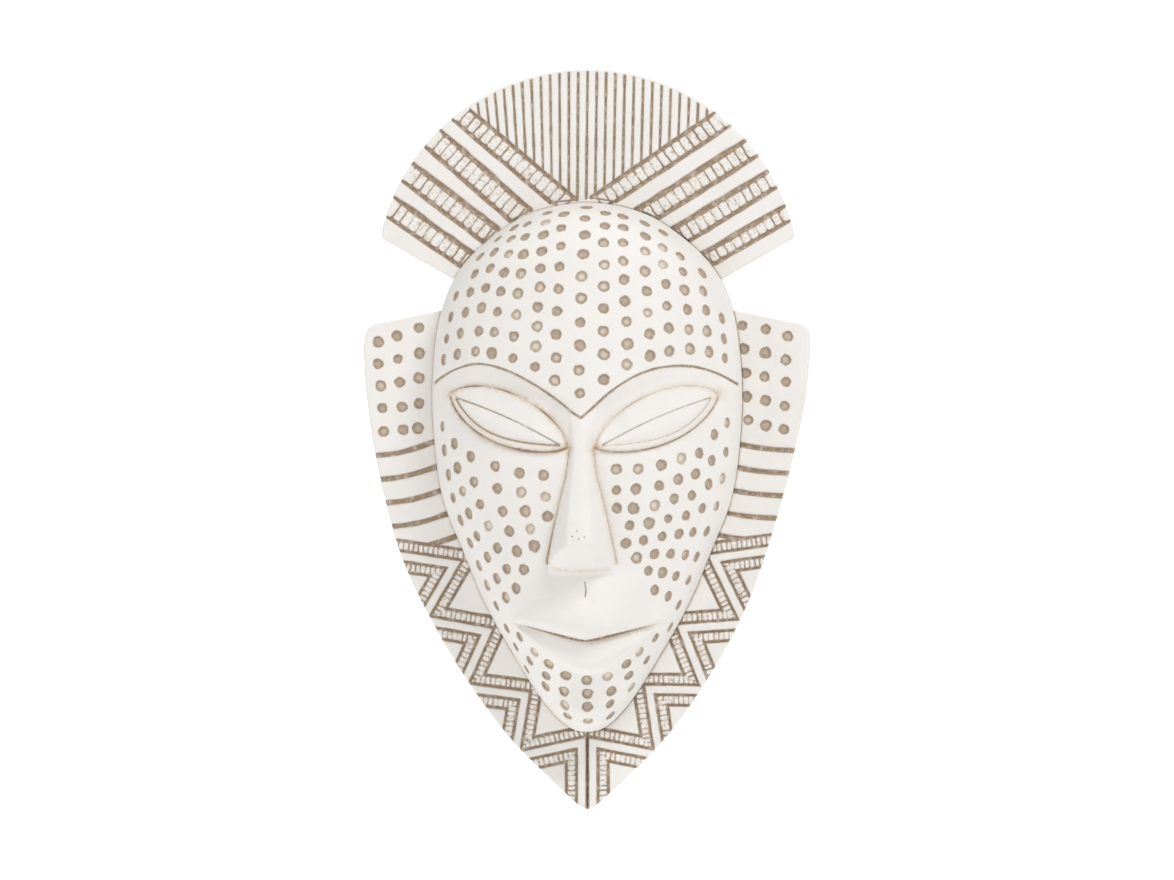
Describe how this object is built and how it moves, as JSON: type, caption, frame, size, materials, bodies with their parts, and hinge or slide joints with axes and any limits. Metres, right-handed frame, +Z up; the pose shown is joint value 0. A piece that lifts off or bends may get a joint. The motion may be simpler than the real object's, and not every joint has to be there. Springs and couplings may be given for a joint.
{
  "type": "carved wall mask",
  "caption": "Long carved wooden wall mask with a domed dotted face, a fan crest, patterned side boards and a ring to hang it by.",
  "frame": {"origin": "on the wall plane, at the height where the hanging ring's inner top rests on its nail, on the mask's centre line", "axes": "+Z up the mask, +Y from the mask's flat back into the wall, +X to the viewer's right; the face looks along -Y"},
  "size_m": [0.2172, 0.088, 0.36],
  "materials": {
    "whitewashed_wood": "matte white wash with a brown antique wash left in the cuts",
    "dowel_wood": "bare turned hardwood",
    "brass_hanger": "dull plated brass",
    "screw_steel": "zinc plated"
  },
  "bodies": {
    "mask": {"face_shell": "whitewashed_wood", "crest_board": "whitewashed_wood", "left_board": "whitewashed_wood", "right_board": "whitewashed_wood", "crest_dowel_left": "dowel_wood", "crest_dowel_right": "dowel_wood", "left_board_dowel_upper": "dowel_wood", "left_board_dowel_middle": "dowel_wood", "left_board_dowel_lower": "dowel_wood", "right_board_dowel_upper": "dowel_wood", "right_board_dowel_middle": "dowel_wood", "right_board_dowel_lower": "dowel_wood", "collar_seam_dowel": "dowel_wood", "hanger_strap": "brass_hanger", "hanger_screw_1": "screw_steel", "hanger_screw_2": "screw_steel"},
    "ring": {"hanger_ring": "brass_hanger"}
  },
  "joints": [
    {"name": "ring_swing", "type": "hinge", "parent": "mask", "child": "ring", "pos_m": [0, -0.0029, -0.0139], "axis": [-1, 0, 0], "range_deg": [0, 174]}
  ]
}
